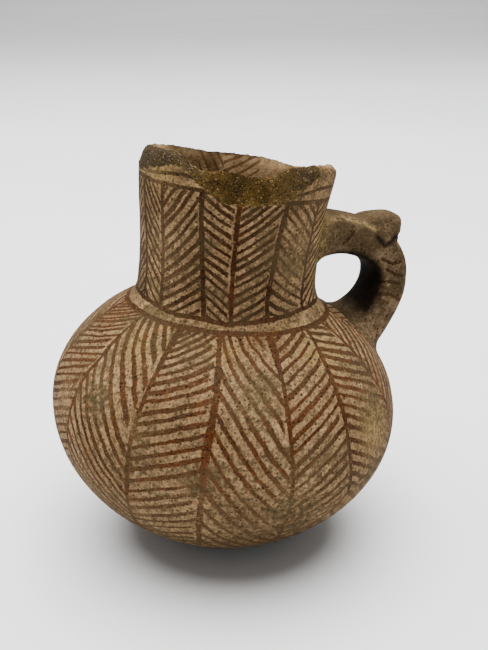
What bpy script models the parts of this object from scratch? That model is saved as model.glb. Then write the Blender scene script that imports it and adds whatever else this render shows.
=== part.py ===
"""A hand-built pottery jug with one loop handle and a broken rim.

Metres, +Z up. The origin is the centre of the small worn flat that the jug
stands on, and the handle is towards +X. The pot is drawn upright about its own
axis, from the pole of its round base, and then leans towards its handle.
"""

import math

import bmesh
import bpy
import numpy as np
from mathutils import Matrix, Vector

# The pot's outside, upright. Heights are measured from the pole of the round base.
BELLY_RADIUS = 0.0822
BELLY_HEIGHT = 0.0690
SHOULDER_RISE = 0.0606
NECK_RADIUS = 0.0412
NECK_FILLET = 0.0068
NECK_WAIST_HEIGHT = 0.1400
NECK_TOP_RADIUS = 0.0440
NECK_TOP_HEIGHT = 0.1760
LIP_RADIUS = 0.0468
LIP_HEIGHT = 0.1930

# How full the underside is, as shares of its height and of its radius.
UNDERSIDE_DROP = 0.54
UNDERSIDE_SPREAD = 0.50

WALL = 0.0064
FLOOR_WALL = 0.0100

# The pot's centre line is a little out of true: (height, shift towards the handle).
CENTRE_SHIFTS = [
    (0.0, 0.0022),
    (0.050, 0.0030),
    (0.104, 0.0020),
    (0.131, -0.0006),
    (0.166, -0.0006),
    (0.196, 0.0010),
]

LEAN_DEGREES = 4.9
FLAT_DEPTH = 0.0019

# The broken rim's two edges: (degrees round from the handle, drop below LIP_HEIGHT).
INNER_EDGE = [
    (-172, 0.0017),
    (-154, 0.0020),
    (-140, 0.0066),
    (-133, 0.0078),
    (-120, 0.0065),
    (-98, 0.0082),
    (-88, 0.0072),
    (-76, 0.0030),
    (-60, 0.0024),
    (-28, 0.0062),
    (10, 0.0120),
    (28, 0.0134),
    (50, 0.0116),
    (92, 0.0109),
    (124, 0.0073),
    (142, 0.0060),
    (164, 0.0016),
]
OUTER_EDGE = [
    (-172, 0.0122),
    (-148, 0.0062),
    (-139, 0.0066),
    (-128, 0.0140),
    (-113, 0.0199),
    (-86, 0.0190),
    (-78, 0.0174),
    (-66, 0.0106),
    (-54, 0.0062),
    (-44, 0.0050),
    (-8, 0.0096),
    (28, 0.0168),
    (50, 0.0150),
    (92, 0.0145),
    (124, 0.0110),
    (150, 0.0120),
]
BREAK_ROUGHNESS = 0.00035
BREAK_CROWN = 0.0006

# The loop handle is a strap from the neck down to the shoulder, in the plane Y = 0.
HANDLE_TOP_HEIGHT = 0.1512
HANDLE_FOOT_HEIGHT = 0.1030
HANDLE_GAP = 0.0312
STRAP_WIDTH = 0.0270
STRAP_THICKNESS = 0.0190
STRAP_FLARE = 1.20
FLARE_LENGTH = 0.0110
STRAP_SQUARENESS = 3.0

# The knob that stands out over the handle's bend.
KNOB_LENGTH = 0.0230
KNOB_WIDTH = 0.0195
KNOB_HEIGHT = 0.0150
KNOB_RISE = 0.0002
KNOB_REACH = 0.0030
KNOB_SQUARENESS = 2.8

# Facets.
SIDES = 72
UNDERSIDE_ROWS = 9
SHOULDER_ROWS = 7
FILLET_ROWS = 4
NECK_ROWS = 5
LIP_ROWS = 3
OUTSIDE_NECK_ROWS = 8
INSIDE_NECK_ROWS = 6
BREAK_ROWS = 4
STRAP_STATIONS = 15
STRAP_SIDES = 20
KNOB_SIDES = 20
SMOOTH_BELOW_DEGREES = 50

# Points closer together than this are one point.
SAME_POINT = 0.00002


def bezier(points, count):
    """`count` points along a Bezier curve of any degree, ends included."""
    t = np.linspace(0.0, 1.0, count)[:, None]
    row = [np.array(p, float)[None, :] + 0.0 * t for p in points]
    while len(row) > 1:
        row = [a * (1.0 - t) + b * t for a, b in zip(row, row[1:])]
    return row[0]


def directions(line):
    """The unit direction along a line of points, and how far along it each point is."""
    run = np.gradient(line, axis=0)
    steps = np.linalg.norm(np.diff(line, axis=0), axis=1)
    return run / np.linalg.norm(run, axis=1)[:, None], np.concatenate([[0.0], np.cumsum(steps)])


def underside():
    """The round base, as (radius, height) from its pole up to the widest level."""
    low = (UNDERSIDE_SPREAD * BELLY_RADIUS, 0.0)
    side = (BELLY_RADIUS, BELLY_HEIGHT * (1.0 - UNDERSIDE_DROP))
    return bezier([(0.0, 0.0), low, side, (BELLY_RADIUS, BELLY_HEIGHT)], UNDERSIDE_ROWS + 1)


def outer_profile():
    """(radius, height) of the whole outside, from the base's pole to the lip."""
    top_angle = math.acos((NECK_RADIUS + NECK_FILLET) / BELLY_RADIUS)
    angles = np.linspace(0.0, top_angle, SHOULDER_ROWS + 1)[1:, None]
    shoulder = np.hstack([BELLY_RADIUS * np.cos(angles), BELLY_HEIGHT + SHOULDER_RISE * np.sin(angles)])

    end = shoulder[-1]
    slope = SHOULDER_RISE / (BELLY_RADIUS * math.tan(top_angle))
    corner = (NECK_RADIUS, end[1] + slope * NECK_FILLET)
    above_corner = (NECK_RADIUS, 0.5 * (corner[1] + NECK_WAIST_HEIGHT))
    waist = (NECK_RADIUS, NECK_WAIST_HEIGHT)
    fillet = bezier([end, corner, above_corner, waist], FILLET_ROWS + 1)[1:]

    neck_top = (NECK_TOP_RADIUS, NECK_TOP_HEIGHT)
    middle = (NECK_RADIUS, NECK_WAIST_HEIGHT + 0.4 * (NECK_TOP_HEIGHT - NECK_WAIST_HEIGHT))
    neck = bezier([waist, middle, neck_top], NECK_ROWS + 1)[1:]

    bend = (0.8 * NECK_TOP_RADIUS + 0.2 * LIP_RADIUS, 0.5 * (NECK_TOP_HEIGHT + LIP_HEIGHT))
    lip = bezier([neck_top, bend, (LIP_RADIUS, LIP_HEIGHT)], LIP_ROWS + 1)[1:]
    return np.concatenate([underside(), shoulder, fillet, neck, lip])


def inner_profile(outer):
    """The inside, one wall's thickness in from the outside and thicker at the floor."""
    run, _ = directions(outer)
    share = np.clip(outer[:, 1] / BELLY_HEIGHT, 0.0, 1.0)
    thickness = FLOOR_WALL + (WALL - FLOOR_WALL) * share
    inner = outer + thickness[:, None] * np.stack([-run[:, 1], run[:, 0]], axis=1)
    inner[0, 0] = 0.0
    return inner


def radius_at(outer, height):
    """The pot's outer radius at a height above its widest level."""
    upper = outer[UNDERSIDE_ROWS:]
    return float(np.interp(height, upper[:, 1], upper[:, 0]))


def drop_at(edge, degrees):
    """How far an edge of the broken rim lies below the lip here."""
    table = np.array(edge, float)
    return float(np.interp(degrees, table[:, 0], table[:, 1], period=360.0))


def cut_off(profile, top, rows):
    """The profile up to the neck's waist, then even rows from there to this height."""
    waist_row = UNDERSIDE_ROWS + SHOULDER_ROWS + FILLET_ROWS
    upper = profile[waist_row:]
    heights = np.linspace(upper[0, 1], top, rows + 1)[1:]
    radii = np.interp(heights, upper[:, 1], upper[:, 0])
    return np.concatenate([profile[: waist_row + 1], np.stack([radii, heights], axis=1)])


def unevenness(column, row):
    """A small step up or down in the broken face."""
    return BREAK_ROUGHNESS * (math.sin(2.7 * column + 1.9 * row) + math.sin(1.3 * column - 2.1 * row + 0.8))


def wall_section(outer, inner, column):
    """The wall at one column: up the outside, across the break and down the inside."""
    degrees = 360.0 * column / SIDES - 180.0
    outside = cut_off(outer, LIP_HEIGHT - drop_at(OUTER_EDGE, degrees), OUTSIDE_NECK_ROWS)
    inside = cut_off(inner, LIP_HEIGHT - drop_at(INNER_EDGE, degrees), INSIDE_NECK_ROWS)
    low, high = outside[-1], inside[-1]
    across, up = high - low
    rising = low + (0.42 * across, 0.30 * up)
    crown = low + (0.50 * across, 1.05 * up + BREAK_CROWN)
    broken = bezier([low, rising, crown, high], BREAK_ROWS + 2)[1:-1]
    broken[:, 1] += [unevenness(column, row) for row in range(BREAK_ROWS)]
    return np.concatenate([outside, broken, inside[::-1]])


def placed(x, y, z):
    """A point of the upright pot, with the shift of its centre line at that height."""
    table = np.array(CENTRE_SHIFTS)
    return Vector((x + float(np.interp(z, table[:, 0], table[:, 1])), y, z))


def new_mesh(name, bm):
    """The drawn shape as a mesh with its faces turned outwards."""
    bmesh.ops.recalc_face_normals(bm, faces=bm.faces)
    mesh = bpy.data.meshes.new(name)
    bm.to_mesh(mesh)
    bm.free()
    return mesh


def pot_mesh(outer):
    """The hollow pot as one closed shell, from its outer pole over the rim to its inner pole."""
    inner = inner_profile(outer)
    bm = bmesh.new()
    columns = []
    for column in range(SIDES):
        turn = math.radians(360.0 * column / SIDES - 180.0)
        section = wall_section(outer, inner, column)[1:-1]
        columns.append([bm.verts.new(placed(r * math.cos(turn), r * math.sin(turn), z)) for r, z in section])
    outer_pole = bm.verts.new(placed(0.0, 0.0, outer[0, 1]))
    inner_pole = bm.verts.new(placed(0.0, 0.0, inner[0, 1]))
    for here, there in zip(columns, columns[1:] + columns[:1]):
        bm.faces.new((outer_pole, there[0], here[0]))
        for row in range(len(here) - 1):
            bm.faces.new((here[row], there[row], there[row + 1], here[row + 1]))
        bm.faces.new((inner_pole, here[-1], there[-1]))
    return new_mesh("pot", bm)


def strap_path(outer):
    """The handle's centre line in its own plane, as (distance from the axis, height)."""
    reach = NECK_RADIUS + HANDLE_GAP + 0.5 * STRAP_THICKNESS
    start = radius_at(outer, HANDLE_TOP_HEIGHT) - 0.5 * WALL
    foot = radius_at(outer, HANDLE_FOOT_HEIGHT) - 0.5 * WALL
    out = reach - NECK_RADIUS
    drop = HANDLE_TOP_HEIGHT - HANDLE_FOOT_HEIGHT
    arm = (NECK_RADIUS + 0.90 * out, HANDLE_TOP_HEIGHT + 0.10 * drop)
    side = (NECK_RADIUS + 1.40 * out, HANDLE_TOP_HEIGHT - 0.40 * drop)
    line = bezier([(start, HANDLE_TOP_HEIGHT), arm, side, (foot, HANDLE_FOOT_HEIGHT)], 4 * STRAP_STATIONS)
    _, along = directions(line)
    even = np.linspace(0.0, along[-1], STRAP_STATIONS)
    return np.stack([np.interp(even, along, line[:, 0]), np.interp(even, along, line[:, 1])], axis=1)


def strap_ring(turn):
    """A point of the strap's rounded section: its shares of the half width and half depth."""
    power = 2.0 / STRAP_SQUARENESS
    c, s = math.cos(turn), math.sin(turn)
    return math.copysign(abs(c) ** power, c), math.copysign(abs(s) ** power, s)


def strap_mesh(outer):
    """The handle's strap, whose two ends are pressed half-way into the wall."""
    path = strap_path(outer)
    run, along = directions(path)
    turns = [2.0 * math.pi * side / STRAP_SIDES for side in range(STRAP_SIDES)]
    bm = bmesh.new()
    rings = []
    for station, (centre, way) in enumerate(zip(path, run)):
        from_end = min(along[station], along[-1] - along[station])
        spread = 1.0 + (STRAP_FLARE - 1.0) * math.exp(-((from_end / FLARE_LENGTH) ** 2))
        ring = []
        for turn in turns:
            wide, deep = strap_ring(turn)
            across = 0.5 * STRAP_WIDTH * spread * wide
            depth = 0.5 * STRAP_THICKNESS * spread * deep
            x = centre[0] + depth * way[1]
            z = centre[1] - depth * way[0]
            if station in (0, len(path) - 1):
                buried = radius_at(outer, z) - 0.5 * WALL
                x = math.sqrt(buried**2 - across**2)
            ring.append(bm.verts.new(placed(x, across, z)))
        rings.append(ring)
    for here, there in zip(rings, rings[1:]):
        for side in range(STRAP_SIDES):
            after = (side + 1) % STRAP_SIDES
            bm.faces.new((here[side], there[side], there[after], here[after]))
    bm.faces.new(rings[0])
    bm.faces.new(rings[-1])
    return new_mesh("strap", bm)


def knob_mesh(outer):
    """A blunt lump that carries the handle's top arm on past its bend."""
    path = strap_path(outer)
    end = path[:, 0].max() + KNOB_REACH
    top = path[:, 1].max() + 0.5 * STRAP_THICKNESS + KNOB_RISE
    middle = placed(end - 0.5 * KNOB_LENGTH, 0.0, top - 0.5 * KNOB_HEIGHT)
    bm = bmesh.new()
    bmesh.ops.create_uvsphere(bm, u_segments=KNOB_SIDES, v_segments=KNOB_SIDES // 2, radius=1.0)
    for vert in bm.verts:
        size = sum(abs(c) ** KNOB_SQUARENESS for c in vert.co) ** (1.0 / KNOB_SQUARENESS)
        x, y, z = vert.co / size
        vert.co = middle + 0.5 * Vector((KNOB_LENGTH * x, KNOB_WIDTH * y, KNOB_HEIGHT * z))
    return new_mesh("knob", bm)


def add(name, mesh):
    made = bpy.data.objects.new(name, mesh)
    bpy.context.scene.collection.objects.link(made)
    return made


def joined(base, parts):
    """One mesh of the base and the parts that are worked into it."""
    for part in parts:
        union = base.modifiers.new(part.name, "BOOLEAN")
        union.operation = "UNION"
        union.solver = "EXACT"
        union.object = part
    graph = bpy.context.evaluated_depsgraph_get()
    mesh = bpy.data.meshes.new_from_object(base.evaluated_get(graph))
    for made in [base, *parts]:
        bpy.data.objects.remove(made)
    return mesh


def middle_of(values):
    return 0.5 * (min(values) + max(values))


def stood_on_flat(mesh):
    """The pot leaning towards its handle, with the small flat that it stands on at Z = 0."""
    bm = bmesh.new()
    bm.from_mesh(mesh)
    bmesh.ops.transform(bm, matrix=Matrix.Rotation(math.radians(LEAN_DEGREES), 4, "Y"), verts=bm.verts)
    lowest = min(v.co.z for v in bm.verts)
    bmesh.ops.translate(bm, verts=bm.verts, vec=(0.0, 0.0, -lowest - FLAT_DEPTH))
    everything = bm.verts[:] + bm.edges[:] + bm.faces[:]
    cut = bmesh.ops.bisect_plane(bm, geom=everything, plane_no=(0, 0, 1), clear_inner=True)
    bmesh.ops.edgeloop_fill(bm, edges=[e for e in cut["geom_cut"] if isinstance(e, bmesh.types.BMEdge)])
    bmesh.ops.remove_doubles(bm, verts=bm.verts, dist=SAME_POINT)
    flat = [v.co for v in bm.verts if abs(v.co.z) < SAME_POINT]
    centre = Vector((middle_of([p.x for p in flat]), middle_of([p.y for p in flat]), 0.0))
    bmesh.ops.translate(bm, verts=bm.verts, vec=-centre)
    return new_mesh("jug", bm)


def clay():
    """Buff pottery, with the colour of its slip and paint together."""
    material = bpy.data.materials.new("painted_pottery")
    material.use_nodes = True
    shader = material.node_tree.nodes["Principled BSDF"]
    shader.inputs["Base Color"].default_value = (0.36, 0.25, 0.16, 1.0)
    shader.inputs["Roughness"].default_value = 0.85
    shader.inputs["Metallic"].default_value = 0.0
    return material


def main():
    for old in list(bpy.data.objects):
        bpy.data.objects.remove(old)
    outer = outer_profile()
    pot = add("pot", pot_mesh(outer))
    strap = add("strap", strap_mesh(outer))
    knob = add("knob", knob_mesh(outer))
    mesh = stood_on_flat(joined(pot, [strap, knob]))
    mesh.materials.append(clay())
    mesh.shade_smooth()
    mesh.set_sharp_from_angle(angle=math.radians(SMOOTH_BELOW_DEGREES))
    add("jug", mesh)


main()
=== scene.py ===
"""An old painted pottery jug with a broken rim, on a pale studio floor.

The jug is drawn upright about its own axis in metres, heights from the pole of
its round base, and then leans towards its handle. Azimuths are degrees round
the axis from the handle, and grow to the right as the photo shows the jug.
"""

import math

import bmesh
import bpy
import numpy as np
from mathutils import Matrix, Vector


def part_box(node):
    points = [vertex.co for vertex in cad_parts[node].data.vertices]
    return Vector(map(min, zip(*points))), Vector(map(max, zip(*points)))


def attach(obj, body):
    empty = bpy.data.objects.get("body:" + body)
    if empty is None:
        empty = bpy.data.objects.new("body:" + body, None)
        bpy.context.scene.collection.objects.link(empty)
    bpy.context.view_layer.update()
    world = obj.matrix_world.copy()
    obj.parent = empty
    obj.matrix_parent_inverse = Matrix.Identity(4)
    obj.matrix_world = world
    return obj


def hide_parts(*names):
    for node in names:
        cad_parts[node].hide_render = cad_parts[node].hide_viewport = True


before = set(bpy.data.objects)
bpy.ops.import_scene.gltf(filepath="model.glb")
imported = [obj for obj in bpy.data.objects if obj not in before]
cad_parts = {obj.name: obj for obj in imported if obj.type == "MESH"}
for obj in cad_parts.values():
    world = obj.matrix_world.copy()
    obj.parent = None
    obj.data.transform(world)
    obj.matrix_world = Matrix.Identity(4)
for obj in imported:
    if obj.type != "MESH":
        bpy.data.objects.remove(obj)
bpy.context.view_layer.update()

# The pot's outside, upright.
BELLY_RADIUS = 0.0822
BELLY_HEIGHT = 0.0690
SHOULDER_RISE = 0.0606
NECK_RADIUS = 0.0412
NECK_FILLET = 0.0068
NECK_WAIST_HEIGHT = 0.1400
NECK_TOP_RADIUS = 0.0440
NECK_TOP_HEIGHT = 0.1760
LIP_RADIUS = 0.0468
LIP_HEIGHT = 0.1930
UNDERSIDE_DROP = 0.54
UNDERSIDE_SPREAD = 0.50
WALL = 0.0064
FLOOR_WALL = 0.0100
LEAN = math.radians(4.9)
FLAT_DEPTH = 0.0019
CENTRE_SHIFTS = [
    (0.0, 0.0022), (0.050, 0.0030), (0.104, 0.0020), (0.131, -0.0006), (0.166, -0.0006), (0.196, 0.0010),
]

# The broken rim's two edges: (azimuth, drop below the lip in mm).
INNER_EDGE = [
    (-172, 2.0), (-155, 1.2), (-147, 2.2), (-140, 5.8), (-133, 7.8), (-120, 6.5), (-98, 8.2),
    (-88, 7.2), (-76, 3.8), (-60, 3.6), (-28, 6.2), (10, 12.0), (28, 13.4),
    (50, 11.6), (92, 10.9), (124, 7.3), (142, 5.8), (164, 4.0),
]
OUTER_EDGE = [
    (-172, 12.2), (-148, 6.2), (-139, 6.6), (-128, 14.0), (-113, 19.9), (-86, 19.0),
    (-78, 17.4), (-66, 10.6), (-54, 6.2), (-44, 5.0), (-8, 9.6), (28, 16.8),
    (50, 15.0), (92, 14.5), (124, 11.0), (150, 12.0),
]
BREAK_CROWN = 0.0006
EDGE_WOBBLE = 0.0009
EDGE_WAVES = (12.0, 2.6)
LEAST_DROP = 0.0012
TIP_ROUNDING = 0.0052
# The break's dark band inside the back rim: its height in mm, and its middle and reach in degrees.
BACK_BAND = 2.2
BACK_MIDDLE = 86.0
BACK_REACH = 50.0

# How round the broken rim's section is, 0 slanting and 1 full: (azimuth, roundness).
BREAK_ROUNDNESS = [
    (-180, 0.9), (-150, 0.9), (-136, 0.4), (-126, 0.0), (-82, 0.0), (-66, 0.7), (-40, 1.0), (0, 0.6), (90, 0.4),
]
# Where the rim's old slip is left on it: (azimuth, how far it covers in mm).
FULL_SLIP = 9.0
SLIPPED_RIM = [(-60, 0.0), (-50, FULL_SLIP), (-24, FULL_SLIP), (8, 0.0), (180, 0.0)]
# Where coarse grit stands out of the break: (azimuth, share).
COARSE_GRIT = [
    (-180, 1.0), (-146, 1.0), (-132, 0.25), (-118, 0.05), (-92, 0.06), (-80, 0.5), (-66, 1.0), (-52, 0.5), (-30, 0.1),
    (90, 0.3),
]

# The photo's camera.
CAMERA_PLACE = (-0.130, -0.409, 0.270)
CAMERA_AIM = (0.320, 0.879, -0.355)
FOCAL_PIXELS = 977.0
PHOTO_PIXELS = 650.0
SENSOR = 36.0

# The loop handle and its knob.
HANDLE_TOP_HEIGHT = 0.1512
HANDLE_FOOT_HEIGHT = 0.1030
HANDLE_GAP = 0.0312
STRAP_WIDTH = 0.0270
STRAP_THICKNESS = 0.0190
STRAP_FLARE = 1.20
FLARE_LENGTH = 0.0110
STRAP_SQUARENESS = 3.0
KNOB_LENGTH = 0.0230
KNOB_WIDTH = 0.0195
KNOB_HEIGHT = 0.0150
KNOB_RISE = 0.0002
KNOB_REACH = 0.0042
KNOB_SQUARENESS = 3.6
FILLET_REACH = 0.0048
FILLET_LENGTHS = (0.016, 0.018)
CREASE_DEPTH = 0.0009

# How finely the pot and its handle are drawn.
BASE_POINTS = 90
SIDES = 336
OUTSIDE_ROWS = 200
BREAK_ROWS = 12
INSIDE_ROWS = 48
POLE_GAP = 0.0008
TOP_GAP = 0.0002
PATH_POINTS = 96
STRAP_SIDES = 72
MELT_SIZE = 0.0006


def straight(low, high, *rows):
    """Tables that run evenly between two heights: a row has the values at both."""
    return [[(low, first), (high, last)] for first, last in rows]


def plain_panels(low, high, *rows):
    """Panels that change evenly between two heights: a row has two slopes, two gaps and a width."""
    return [([(low, a), (high, b)], [(low, c), (high, d)], width) for a, b, c, d, width in rows]


# The painted lines round the pot: (azimuth, height in mm), and their widths in mm.
SHOULDER_LINE = [(-180, 119), (-110, 119), (0, 119), (179, 119)]
NECK_FOOT_LINE = [
    (-180, 124.8), (-160, 124.0), (-140, 122.8), (-120, 122.8), (-108, 122.1), (-96, 122.8), (-75, 124.4), (-55, 125.8),
    (60, 126), (179, 125),
]
NECK_HEAD_LINE = [(-180, 178), (-130, 178), (-77, 175), (-35, 173), (40, 173), (120, 176)]
LIP_LINE = [
    (-170, 181), (-140, 183.5), (-120, 182), (-85, 179), (-70, 178), (-55, 180), (-20, 178), (40, 176), (120, 179),
]
RING_LINES = [(SHOULDER_LINE, 1.6), (NECK_FOOT_LINE, 1.9), (NECK_HEAD_LINE, 1.9), (LIP_LINE, 1.6)]

# Stems of the herringbone on the body, left to right: (height in mm, azimuth).
BODY_STEMS = [
    [(25, -190), (120, -188)],
    [(25, -168), (67, -167), (72, -166), (85, -165), (95, -164), (100, -162.5), (110, -161.9), (120, -161)],
    [(25, -142.5), (33, -142), (50, -140), (60, -138.7), (80, -137.7), (100, -136), (120, -134)],
    [(25, -116), (40, -116), (60, -115), (80, -114.5), (90, -113.5), (100, -113), (120, -113)],
    [(28, -85), (40, -87), (60, -88), (85, -89.4), (100, -89.4), (110, -88.8), (118, -87)],
    [
        (20, -84), (30, -76), (42, -68), (52, -64.4), (60, -65.6), (70, -67.5), (80, -68.5), (100, -68.5), (110, -66.9),
        (118, -62.5),
    ],
    [(25, -38), (88, -42), (93, -43.7), (100, -45), (119, -45)],
]
BODY_STEMS += straight(25, 120, (-16, -21), (21, 21), (46, 47), (73, 72), (98, 97), (121, 122), (146, 147))
# Each panel right of a stem: the slope of its strokes in degrees as (height, slope),
# the upright distance between strokes, and their width, in mm. A slope above 0 rises to the right.
BODY_PANELS = [
    ([(25, 30), (80, 25), (105, 24), (118, 40)], [(25, 4.5), (85, 4.4), (100, 3.5), (118, 3.3)], 1.6),
    ([(25, -48), (80, -52), (105, -55), (118, -65)], [(25, 6.6), (80, 7.4), (118, 9.5)], 2.0),
    (
        [(25, 25), (80, 22), (95, 20), (105, 30), (118, 50)],
        [(25, 5.8), (55, 5.6), (80, 5.2), (95, 4.7), (105, 4.4), (118, 4.8)], 2.0,
    ),
    ([(25, -47), (80, -56), (105, -58), (118, -72)], [(25, 8.6), (55, 8.8), (80, 9.2), (105, 9.4), (118, 13.0)], 2.0),
    ([(25, 33), (80, 35), (105, 32), (118, 35)], [(25, 6.0), (60, 6.0), (80, 5.4), (95, 5.4), (118, 5.2)], 1.9),
    ([(25, -35), (80, -28), (105, -24), (118, -25)], [(25, 6.2), (70, 6.0), (85, 5.2), (95, 5.2), (118, 4.6)], 2.0),
]
BODY_PANELS += plain_panels(
    25, 118, (45, 45, 5.6, 5.6, 1.7), (-30, -35, 4.8, 4.8, 1.6), (34, 38, 4.6, 4.6, 1.7), (-45, -54, 6.4, 7.6, 1.8),
    (28, 34, 4.3, 4.3, 1.6), (-40, -50, 5.6, 6.6, 1.8), (30, 36, 4.4, 4.4, 1.6), (-40, -44, 5.4, 5.8, 1.7),
)
NECK_STEMS = [
    [(125, -187), (178, -187)],
    [(135, -171), (170, -174), (178, -174.5)],
    [(125, -153), (178, -154.4)],
    [(125, -123), (130, -123.5), (150, -126), (173, -128)],
    [(125, -107), (178, -107)],
    [(127, -85), (150, -82), (171, -79.4), (178, -78.6)],
    [(125, -56.6), (130, -56), (170, -52.5)],
]
NECK_STEMS += straight(125, 178, (-31, -29), (30, 30), (55, 55), (81, 79), (105, 105), (131, 130), (154, 155))
NECK_PANELS = [
    ([(125, 48), (178, 48)], [(125, 4.8), (178, 4.8)], 1.5),
    ([(125, -39), (150, -48), (176, -56)], [(125, 5.0), (178, 5.0)], 1.6),
    ([(125, 31), (150, 44), (176, 55)], [(125, 4.2), (150, 4.9), (176, 6.2)], 1.8),
    ([(125, -42), (150, -30), (176, -34)], [(125, 4.2), (178, 4.2)], 1.6),
    ([(125, 30), (150, 33), (176, 45)], [(125, 4.2), (178, 4.3)], 1.7),
    ([(125, -25), (150, -40), (176, -39)], [(125, 4.5), (178, 4.5)], 1.5),
]
NECK_PANELS += plain_panels(
    125, 178, (32, 32, 4.3, 4.3, 1.5), (-36, -36, 4.6, 4.6, 1.6), (38, 42, 4.5, 4.5, 1.6), (-36, -40, 4.4, 4.4, 1.6),
    (32, 44, 4.4, 4.6, 1.7), (-34, -42, 4.3, 4.3, 1.6), (34, 42, 4.5, 4.5, 1.6), (-38, -46, 4.6, 4.6, 1.6),
)
# The neck's stems and panels are numbered from here.
NECK_FIRST = 20
# How soft a stroke's sides are, as a share of the spacing.
STROKE_SOFTNESS = 0.022
STEM_WIDTH = 2.1

# The stems that aren't STEM_WIDTH wide all the way: (height, width) in mm, by number.
STEM_WIDTHS = {
    1: [(60, 2.0), (118, 1.7)], 2: [(104, 2.1), (118, 3.6)],
    3: [(40, 2.3), (62, 2.6), (76, 3.5), (88, 3.3), (100, 2.5), (118, 2.1)],
    4: [(104, 2.1), (118, 3.4)], 25: [(125, 2.1), (178, 2.6)],
}

# The few strokes inside the neck, on the wall across from the photo's camera: where their
# middle is and how far they reach to both sides, in degrees, and between which heights in mm.
FAR_WALL_MIDDLE = 79.0
FAR_WALL_SIDES = (-27.0, 20.0)
FAR_WALL_HEIGHTS = (158.0, 180.5)
# The body's strokes end at this height, and away from paint distances read as these.
BODY_TOP = 119.0
NO_STEM = 9.0
NO_RING = 30.0

# Colours as a screen shows them, 0 to 255.
SLIP_LIGHT = (160, 131, 94)
SLIP_DULL = (124, 98, 69)
SLIP_WORN = (93, 71, 46)
SLIP_GRAIN = (60, 44, 24)
SLIP_DARK_GRAIN = (28, 18, 7)
SLIP_YELLOW = (142, 120, 72)
PAINT_DARK = (42, 17, 2)
PAINT_LIGHT = (74, 38, 12)
PAINT_NECK = (30, 11, 0)
PAINT_RED = (90, 26, 3)
PAINT_DULL = (76, 52, 35)
SPECK = (20, 12, 3)
CHALK = (160, 132, 90)
GREEN_SOIL = (66, 59, 34)
# Soil, also used as painted shade low on the body and inside the pot.
SOIL_AND_SHADE = (56, 46, 29)
HANDLE_DARK = (64, 51, 35)
HANDLE_LIGHT = (110, 90, 67)
HANDLE_TOP = (60, 46, 29)
# Soot and painted shade: the handle's inner face and crease, and the back rim's break.
SOOT_AND_SHADE = (12, 8, 5)
FABRIC_DARK = (50, 36, 12)
FABRIC_LIGHT = (89, 67, 31)
FABRIC_GREY = (54, 45, 29)
FABRIC_BLACK = (14, 9, 2)
FABRIC_WARM = (90, 70, 36)
FLOOR_DULL = (231, 231, 232)
FLOOR_LIGHT = (235, 235, 235)

# Stains and wear: (azimuth, height in mm, reach round and reach up in mm, strength).
RED_PAINT = [(-110, 72, 26, 16, 1.0), (-107, 150, 3.5, 28, 0.9), (-98, 62, 12, 9, 0.9), (-116, 92, 10, 8, 0.4)]
YELLOW_SLIP = [
    (-54, 80, 12, 10, 0.6), (-148, 112, 14, 8, 0.8), (-112, 114, 9, 5, 0.6), (-65, 112, 12, 7, 0.7),
    (-30, 150, 9, 22, 0.9), (-160, 182, 14, 5, 0.8),
]
GREEN_DIRT = [
    (-52, 78, 13, 10, 0.8), (-66, 152, 8, 16, 0.5), (-155, 88, 8, 8, 0.9), (-135, 83, 10, 7, 0.9),
    (-102, 99, 9, 8, 0.7),
    (-96, 56, 18, 9, 0.9), (-78, 50, 22, 12, 0.8), (-163, 46, 14, 9, 0.8), (-118, 60, 9, 8, 0.6),
    (-44, 50, 14, 14, 0.7),
]
WORN_PAINT = [
    (-53, 79, 11, 12, 1.2), (-30, 176, 26, 6, 0.5), (-66, 152, 9, 16, 0.5), (-56, 40, 18, 12, 0.5),
    (-172, 80, 9, 9, 0.6),
    (-100, 40, 20, 10, 0.4), (-160, 180, 16, 4, 0.4), (-140, 40, 14, 8, 0.3), (-152, 150, 12, 26, 0.3),
]


def bezier(points, count):
    """`count` points along a Bezier curve of any degree, ends included."""
    t = np.linspace(0.0, 1.0, count)[:, None]
    row = [np.array(p, float)[None, :] + 0.0 * t for p in points]
    while len(row) > 1:
        row = [a * (1.0 - t) + b * t for a, b in zip(row, row[1:])]
    return row[0]


def along(line):
    """How far along a line of points each of them is."""
    return np.concatenate([[0.0], np.cumsum(np.linalg.norm(np.diff(line, axis=0), axis=1))])


def directions(line):
    """The direction in which a line of points runs, at each of them."""
    run = np.gradient(line, axis=0)
    return run / np.linalg.norm(run, axis=1)[:, None]


def table(pairs, at, **how):
    """The value of a (place, value) table at these places."""
    rows = np.array(pairs, float)
    return np.interp(at, rows[:, 0], rows[:, 1], **how)


def around_pot(pairs, azimuth):
    return table(pairs, azimuth, period=360.0)


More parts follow.
